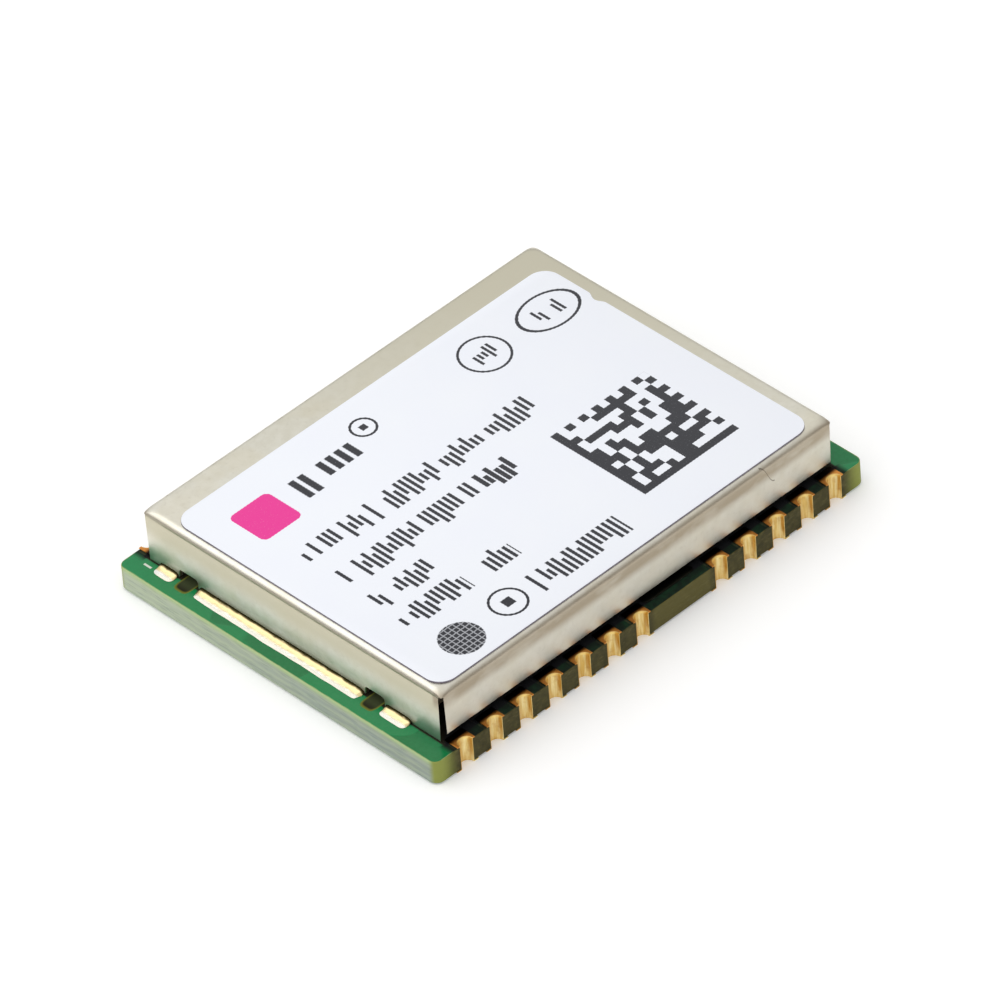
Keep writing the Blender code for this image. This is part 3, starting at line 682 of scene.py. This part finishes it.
# Middle and half sizes of each ring, and middle and half size of the square dot in two of them
RINGS = (
    (-1.20, 3.53, 0.37, 0.37),
    (3.11, 3.22, 0.74, 0.74),
    (5.55, 3.22, 1.00, 0.70),
    (-3.66, -4.475, 0.53, 0.53),
)
RING_DOTS = ((-1.20, 3.53, 0.11), (-3.66, -4.475, 0.16))
RING_STROKE = 0.038
CODE_CORNER = (1.82, -4.17)
CELL = 0.257
CELLS = 14
HATCHED_MIDDLE = (-5.50, -4.58)
HATCHED_RADIUS = 0.65
HATCH_PITCH = 0.16
BLOCK_MIDDLE = (-5.50, 2.87)
BLOCK_HALF = 0.72
BLOCK_CORNER = 0.2
INK = tone(40, 41, 48)
MAGENTA = tone(238, 48, 152)
FILM_RELIEF = 0.004

film = Finish("label film", specular_ior_level=0.4)
x, y, z = film.axes
x, y = x + (y * 61).sine() * 0.004, y + (x * 53).sine() * 0.004


def slab(u, v, middle_u, middle_v, half_u, half_v):
    """1 inside a rectangle, 0 outside."""
    return (half_u - abs(u - middle_u)).least(half_v - abs(v - middle_v)).above(0.0, 0.012)


def distance(u, v):
    """Root of u squared plus v squared."""
    return (u * u + v * v).root()


def toss(number):
    """A random value of 0 to 1 for each number."""
    return film.node("ShaderNodeTexWhiteNoise", {"noise_dimensions": "1D"}, {"W": number})


ink = y * 0
for seed, (start, end, line_y, half_height, pitch, half_bar) in enumerate(BAR_LINES, 3):
    along = (x - start) / pitch
    bar = (half_bar - abs(along.fraction() - 0.5)).above(0.0, 0.06)
    stroke = along.floor() + seed * 1000
    in_line = slab(x, y, (start + end) / 2, line_y, (end - start) / 2, 1)
    bar = bar * toss(stroke + 0.25).above(0.1, 0.001) * in_line
    over = y - line_y
    up = (toss(stroke + 0.5).above(0.4, 0.001) * 0.55 + 0.45) * half_height
    down = (toss(stroke + 0.75).above(0.4, 0.001) * 0.55 + 0.45) * half_height
    ink = ink.most(bar * (up - over).least(down + over).above(0.0, 0.012))
for ring_x, ring_y, ring_a, ring_b in RINGS:
    away = distance((x - ring_x) / ring_a, (y - ring_y) / ring_b) - 1
    ink = ink.most((RING_STROKE / min(ring_a, ring_b) - abs(away)).above(0.0, 0.012))
for dot_x, dot_y, dot_half in RING_DOTS:
    ink = ink.most(slab(x, y, dot_x, dot_y, dot_half, dot_half))
# The matrix has two full edges, two of every other cell, and random cells between them
code_x, code_y = CODE_CORNER
column, row = ((x - code_x) / CELL).floor(), ((y - code_y) / CELL).floor()
full_edge = (1 - column.above(0.5, 0.1)).most(1 - row.above(0.5, 0.1))
odd_column, odd_row = (column * 0.5).fraction().above(0.25, 0.1), (row * 0.5).fraction().above(0.25, 0.1)
last_column, last_row = column.above(CELLS - 1.5, 0.1), row.above(CELLS - 1.5, 0.1)
inner = (1 - last_column) * (1 - last_row) * toss(column + row * 100).above(0.5, 0.001)
marked = full_edge.most(last_column * (1 - odd_row)).most(last_row * (1 - odd_column)).most(inner)
half_code = CELLS * CELL / 2
ink = ink.most(marked * slab(x, y, code_x + half_code, code_y + half_code, half_code, half_code))
disc = (HATCHED_RADIUS - distance(x - HATCHED_MIDDLE[0], y - HATCHED_MIDDLE[1])).above(0.0, 0.015)
hatch_x = abs((x / HATCH_PITCH).fraction() - 0.5)
hatch_y = abs((y / HATCH_PITCH).fraction() - 0.5)
ink = ink.most(disc * (1 - hatch_x.most(hatch_y).above(0.4, 0.06) * 0.45))
over_x = (abs(x - BLOCK_MIDDLE[0]) - (BLOCK_HALF - BLOCK_CORNER)).most(0.0)
over_y = (abs(y - BLOCK_MIDDLE[1]) - (BLOCK_HALF - BLOCK_CORNER)).most(0.0)
block = (BLOCK_CORNER - distance(over_x, over_y)).above(0.0, 0.012)
speck = film.noise(34.0, 2.0).above(0.3, 0.08) * 0.15 + 0.85
white = film.blend(film.noise(0.5, 2.0), tone(243, 246, 255), tone(247, 250, 255))
printed = film.blend(ink * speck, white, INK)
printed = film.blend(block * speck, printed, MAGENTA)
film.feed(
    base_color=printed,
    roughness=0.42 + film.noise(18.0, 2.0) * 0.1 - ink.most(block) * 0.12,
    normal=film.raise_by(film.noise(3.0, 3.0), FILM_RELIEF),
)
# The cut edge shows dark glue, darkened further with painted shade
glue_and_shade = Finish("label edge", roughness=0.6)
glue_and_shade.feed(base_color=glue_and_shade.blend(glue_and_shade.noise(6.0, 3.0), tone(84, 76, 88), tone(150, 142, 156)))

label_low, label_high = box_of("label")
label_middle, label_half = (label_low + label_high) / 2, (label_high - label_low) / 2
nick_run = np.linspace(0, 1, NICK_STEPS)
nick_shape = label_half[0] - NICK_DEPTH * (1 - np.cos(2 * math.pi * nick_run)) / 2
nick_y = NICK_Y - label_middle[1] + NICK_LENGTH * (nick_run - 0.5)
outline = [np.column_stack([nick_shape, nick_y])]
for turn, signs in zip((0, 90, 180, 270), ((1, 1), (-1, 1), (-1, -1), (1, -1))):
    centre = np.array(signs) * (label_half[:2] - LABEL_CORNER)
    outline.append(arc(centre, LABEL_CORNER, turn, turn + 90, LABEL_CORNER_STEPS))
outline = np.concatenate(outline) + label_middle[:2]
profile = [(0, label_low[2]), (0, label_high[2] - 0.016)]
profile += [(0.006, label_high[2] - 0.004), (0.016, label_high[2])]
points, faces = lofted(outline, profile)
which = np.ones(len(faces), dtype=int)
which[2 * len(outline):] = 0
make_piece("printed_label", points, faces, [film, glue_and_shade], ["label"], which)

# Solder: along the foot of each short wall, in three stretches that stop at the vents. It is
# melted paste, so its face sags in a hollow curve and its edge wanders.
STRETCH_STATIONS = 81
SAG_STEPS = 13
END_TAPER = 0.12
WALL_GAP = 0.004
WAVES_PER_MM = np.array([[1.7, 3.3, 6.1, 11.0]])
WAVE_STARTS = np.array([[0.7, 2.1, 4.4, 5.3]])
WAVE_SHARES = np.array([[0.34], [0.3], [0.22], [0.14]])
SOLDER_RELIEF = 0.012

solder = Finish("solder", metallic=1.0)
x, y, z = solder.axes
ripple = solder.noise(7.0, 3.0, (1, 0.5, 1))
off_wall = abs(x) - can_half[0] + (ripple - 0.5) * 0.08
bright = solder.blend(ripple, tone(232, 230, 226), tone(255, 255, 252))
# Near the wall the solder turns golden, partly a tint of flux and partly a painted reflection, and painted
# shade darkens the crease against the wall
bright = solder.blend((0.2 - off_wall).above(0.0, 0.05) * 0.85, bright, tone(228, 204, 138))
bright = solder.blend((0.055 - off_wall).above(0.0, 0.025), bright, tone(52, 47, 24))
solder.feed(base_color=bright, roughness=0.14 + ripple * 0.16, normal=solder.raise_by(ripple, SOLDER_RELIEF))


def flowed_stretch(number, low, high):
    """One stretch in a box: places along the wall by steps down the solder's face.

    Out from the wall it goes by 1 - cos and down by 1 - sin of a quarter turn, each to the power
    0.85. Foot and rise both taper at the ends and wander with a sum of four sines.
    """
    side = np.sign(low[0] + high[0])
    run = np.linspace(0, 1, STRETCH_STATIONS)[:, None]
    length = high[1] - low[1]
    ends = np.sqrt(np.clip(1 - np.abs(2 * run - 1) ** (length / END_TAPER), 0.0, 1.0)) * 0.62 + 0.38
    ends[[0, -1]] = 0.3
    waves = np.sin(run * length * WAVES_PER_MM + WAVE_STARTS + number) @ WAVE_SHARES
    foot = (high[0] - low[0]) * ends * (0.93 + 0.05 * waves)
    rise = (high[2] - low[2]) * ends * (0.92 - 0.08 * waves)
    turn = np.radians(np.linspace(0, 90, SAG_STEPS))
    against_wall = np.zeros((STRETCH_STATIONS, 1))
    out = np.hstack([against_wall, foot * (1 - np.cos(turn)) ** 0.85])
    up = np.hstack([against_wall, rise * (1 - np.sin(turn)) ** 0.85])
    wall = (can_half[0] + WALL_GAP) * side
    grid = np.broadcast_arrays(wall + side * out, low[1] + run * length, low[2] + up)
    return np.stack(grid, axis=-1).reshape(-1, 3)


stretch_faces = band(STRETCH_STATIONS, SAG_STEPS + 1) + caps(STRETCH_STATIONS, SAG_STEPS + 1)
solder_names = [f"solder_{end}_{index}" for end in ("left", "right") for index in (1, 2, 3)]
for number, name in enumerate(solder_names):
    stretch = flowed_stretch(number, *box_of(name))
    make_piece(f"flowed_{name}", stretch, stretch_faces, [solder], [name])

# Parts under the can: moulded and ceramic packages, and chip parts with tinned ends, stood on the
# board before the can is soldered over them.
LEAD_SHOWING = 0.05
AMPLIFIER_LEAD = 0.06
TINNED_END = 0.24
LID = 0.1
PACKAGE_RELIEF = 0.006


def package_finish(name, light, dark, rim, end_length=0.0, shelf=0.0):
    """A moulded or fired body whose ends, or whose lid above a shelf, have another colour."""
    low, high = box_of(name)
    middle, half = (low + high) / 2, (high - low) / 2
    finish = Finish(f"finish of {name}", specular_ior_level=0.4)
    along = 1 if half[1] > half[0] else 0
    body = finish.blend(finish.noise(22.0, 3.0), light, dark)
    capped = abs(finish.axes[along] - middle[along]).above(half[along] - end_length, 0.01)
    lid = finish.axes[2].above(high[2] - shelf + 0.01, 0.01)
    share = (capped if end_length else capped * 0).most(lid if shelf else lid * 0)
    finish.feed(
        base_color=finish.blend(share, body, rim),
        metallic=share * 0.9,
        roughness=0.5 - share * 0.2,
        normal=finish.raise_by(finish.noise(30.0, 2.0), PACKAGE_RELIEF),
    )
    return finish


BLACK, GREY, SILVER = tone(30, 30, 32), tone(52, 52, 56), tone(206, 204, 194)
IVORY, DARK_IVORY = tone(176, 164, 140), tone(150, 138, 116)
TAN, DARK_TAN = tone(150, 112, 80), tone(128, 92, 64)
BLUE_GREY, DARK_BLUE_GREY = tone(92, 116, 140), tone(70, 92, 116)
inner_looks = {
    "receiver_chip": (BLACK, GREY, SILVER, LEAD_SHOWING, 0.0),
    "power_inductor": (GREY, BLACK, SILVER, 0.0, 0.0),
    "low_noise_amplifier": (BLACK, GREY, SILVER, AMPLIFIER_LEAD, 0.0),
    "voltage_regulator": (BLACK, GREY, SILVER, AMPLIFIER_LEAD, 0.0),
    "reference_oscillator": (IVORY, DARK_IVORY, SILVER, 0.0, LID),
    "clock_crystal": (IVORY, DARK_IVORY, SILVER, 0.0, LID),
    "antenna_filter": (IVORY, DARK_IVORY, SILVER, 0.0, LID),
}
for index in range(1, 8):
    inner_looks[f"capacitor_{index}"] = (TAN, DARK_TAN, SILVER, TINNED_END, 0.0)
for index in range(1, 4):
    inner_looks[f"coil_{index}"] = (BLUE_GREY, DARK_BLUE_GREY, SILVER, TINNED_END, 0.0)
for name, look in inner_looks.items():
    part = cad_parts[name]
    part.data.materials.clear()
    part.data.materials.append(package_finish(name, *look).material)

# Studio: a pale floor, an even pale surround that is dimmer towards the horizon, and one soft
# lamp behind the left end. The camera stands where the photograph was taken from.
FLOOR_HALF = 120.0
FLOOR_COLOUR = tone(250, 250, 250)
FLOOR_GLOW = tone(112, 112, 112)
HORIZON = (0.2, 0.1)
HORIZON_COLOUR = (0.2, 0.19, 0.17, 1.0)
CAMERA_SIDE = (0.62, -0.78)
CAMERA_SIDE_COLOUR = (0.4, 0.37, 0.33, 1.0)
CAMERA_SIDE_SHARE = 0.6
SURROUND_COLOUR = (1.0, 1.0, 1.0, 1.0)
SURROUND_STRENGTH = 0.93
SEEN_COLOUR = (1.1, 1.1, 1.1, 1.0)
LAMP_AZIMUTH, LAMP_ELEVATION = -131.0, 50.0
LAMP_DISTANCE = 500.0
LAMP_SIZE = 0.5
LAMP_WATTS = 0.57
CAMERA_AZIMUTH, CAMERA_ELEVATION, CAMERA_ROLL = -41.81, 40.60, -4.71
CAMERA_DISTANCE = 299.2
CAMERA_OFFSET = (0.184, 0.928)
FOCAL_PIXELS = 11098.4
IMAGE_PIXELS = 1000
SENSOR = 36.0

floor_finish = Finish("floor", roughness=0.9, specular_ior_level=0.0, emission_strength=1.0)
floor_finish.sockets["base_color"].default_value = FLOOR_COLOUR
seen = floor_finish.node("ShaderNodeLightPath", {}, {}, "Is Camera Ray")
seen = seen + floor_finish.node("ShaderNodeLightPath", {}, {}, "Is Glossy Ray")
seen = seen + floor_finish.node("ShaderNodeLightPath", {}, {}, "Is Transmission Ray")
floor_finish.feed(emission_color=floor_finish.blend(seen, tone(0, 0, 0), FLOOR_GLOW))
floor_mesh = bpy.data.meshes.new("floor")
square = np.array([(-1, -1, 0), (1, -1, 0), (1, 1, 0), (-1, 1, 0)]) * FLOOR_HALF * MM
floor_mesh.from_pydata(square.tolist(), [], [[0, 1, 2, 3]])
floor_mesh.materials.append(floor_finish.material)
floor = bpy.data.objects.new("floor", floor_mesh)
bpy.context.scene.collection.objects.link(floor)

world = bpy.data.worlds.new("surround")
world.use_nodes = True
room = Graph(world.node_tree)
east, north, height = room.parts(room.node("ShaderNodeTexCoord", {}, {}, "Generated"))
light = room.blend(height.above(*HORIZON), HORIZON_COLOUR, SURROUND_COLOUR)
camera_side = (east * CAMERA_SIDE[0] + north * CAMERA_SIDE[1]).above(0.35, 0.35)
camera_side = camera_side * (0.7 - height).above(0.0, 0.15)
light = room.blend(camera_side * CAMERA_SIDE_SHARE, light, CAMERA_SIDE_COLOUR)
light = room.blend(room.node("ShaderNodeLightPath", {}, {}, "Is Camera Ray"), light, SEEN_COLOUR)
background = world.node_tree.nodes["Background"]
background.inputs["Strength"].default_value = SURROUND_STRENGTH
world.node_tree.links.new(light.socket, background.inputs["Color"])
bpy.context.scene.world = world


def aimed(azimuth, elevation, roll=0.0):
    """Right, up and back directions of something that looks at the module from an azimuth and elevation."""
    turn, lift, tilt = np.radians([azimuth, elevation, roll])
    back = np.array([np.sin(turn) * np.cos(lift), -np.cos(turn) * np.cos(lift), np.sin(lift)])
    right = np.cross([0, 0, 1], back)
    right /= np.linalg.norm(right)
    up = np.cross(back, right)
    level, tipped = np.cos(tilt) * right + np.sin(tilt) * up, np.cos(tilt) * up - np.sin(tilt) * right
    return level, tipped, back


def stand(name, data, directions, place):
    """An object with its axes along three directions, at a place in millimetres."""
    item = bpy.data.objects.new(name, data)
    matrix = np.eye(4)
    matrix[:3, :3] = np.column_stack(directions)
    matrix[:3, 3] = np.asarray(place) * MM
    item.matrix_world = matrix.T
    bpy.context.scene.collection.objects.link(item)
    return item


lamp = bpy.data.lights.new("key", "AREA")
lamp.size = LAMP_SIZE
lamp.energy = LAMP_WATTS
directions = aimed(LAMP_AZIMUTH, LAMP_ELEVATION)
stand("key", lamp, directions, directions[2] * LAMP_DISTANCE)

camera_data = bpy.data.cameras.new("camera")
camera_data.sensor_width = SENSOR
camera_data.lens = FOCAL_PIXELS * SENSOR / IMAGE_PIXELS
camera_data.clip_start = 0.01
camera_data.clip_end = 10.0
right, up, back = aimed(CAMERA_AZIMUTH, CAMERA_ELEVATION, CAMERA_ROLL)
place = right * CAMERA_OFFSET[0] + up * CAMERA_OFFSET[1] + back * CAMERA_DISTANCE
bpy.context.scene.camera = stand("camera", camera_data, (right, up, back), place)
bpy.context.scene.view_settings.view_transform = "Standard"
